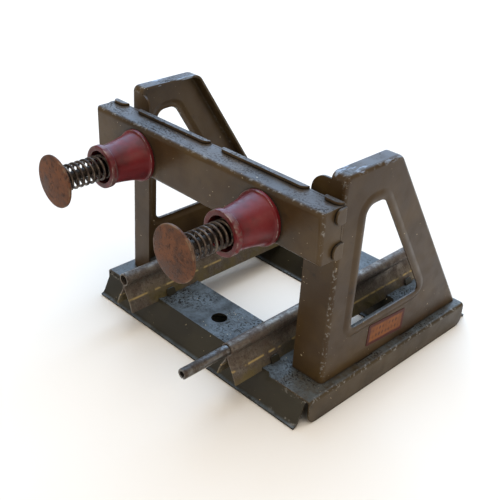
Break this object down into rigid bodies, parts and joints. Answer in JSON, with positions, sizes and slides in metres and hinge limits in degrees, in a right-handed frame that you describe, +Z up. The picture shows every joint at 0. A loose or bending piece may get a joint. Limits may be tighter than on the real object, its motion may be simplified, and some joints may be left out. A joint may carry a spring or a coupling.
{
  "type": "toy railway buffer stop",
  "caption": "Tinplate toy railway buffer stop: two sprung buffers on a cross-beam between pressed side frames, over a short length of track.",
  "frame": {"origin": "centre of the whole object's footprint, on the ground", "axes": "+Z up; the buffers face -Y and the track runs along Y; +X is to the right seen from the buffers' side looking along +Y"},
  "size_m": [0.0694, 0.0826, 0.0533],
  "materials": {
    "dark_enamel": "gloss stoved enamel, dark olive green, worn",
    "red_enamel": "gloss stoved enamel, dark red, worn",
    "tinned_rail": "dull tinned steel with rust",
    "rusted_steel": "rusted, matt",
    "spring_steel": "darkened wire",
    "pale_steel": "drawn, dull",
    "transfer_film": "varnished transfer, orange and gold"
  },
  "bodies": {
    "stop_body": {"front_sleeper": "dark_enamel", "rear_sleeper": "dark_enamel", "base_plate_left": "dark_enamel", "base_plate_right": "dark_enamel", "side_frame_left": "dark_enamel", "side_frame_right": "dark_enamel", "beam_tray": "dark_enamel", "beam_back_plate": "dark_enamel", "rail_left": "tinned_rail", "rail_right": "tinned_rail", "rail_pin": "tinned_rail", "buffer_housing_left": "red_enamel", "buffer_housing_right": "red_enamel", "buffer_spring_left": "spring_steel", "buffer_spring_right": "spring_steel", "maker_label": "transfer_film"},
    "left_buffer": {"buffer_head_left": "rusted_steel", "buffer_rod_left": "pale_steel", "rod_washer_left": "pale_steel"},
    "right_buffer": {"buffer_head_right": "rusted_steel", "buffer_rod_right": "pale_steel", "rod_washer_right": "pale_steel"}
  },
  "joints": [
    {"name": "left_buffer_slide", "type": "slide", "parent": "stop_body", "child": "left_buffer", "axis": [0, 1, 0], "range_m": [0, 0.008], "stiffness_N_per_m": 300, "springref_m": -0.003, "deforming": ["buffer_spring_left"]},
    {"name": "right_buffer_slide", "type": "slide", "parent": "stop_body", "child": "right_buffer", "axis": [0, 1, 0], "range_m": [0, 0.008], "stiffness_N_per_m": 300, "springref_m": -0.003, "deforming": ["buffer_spring_right"]}
  ]
}
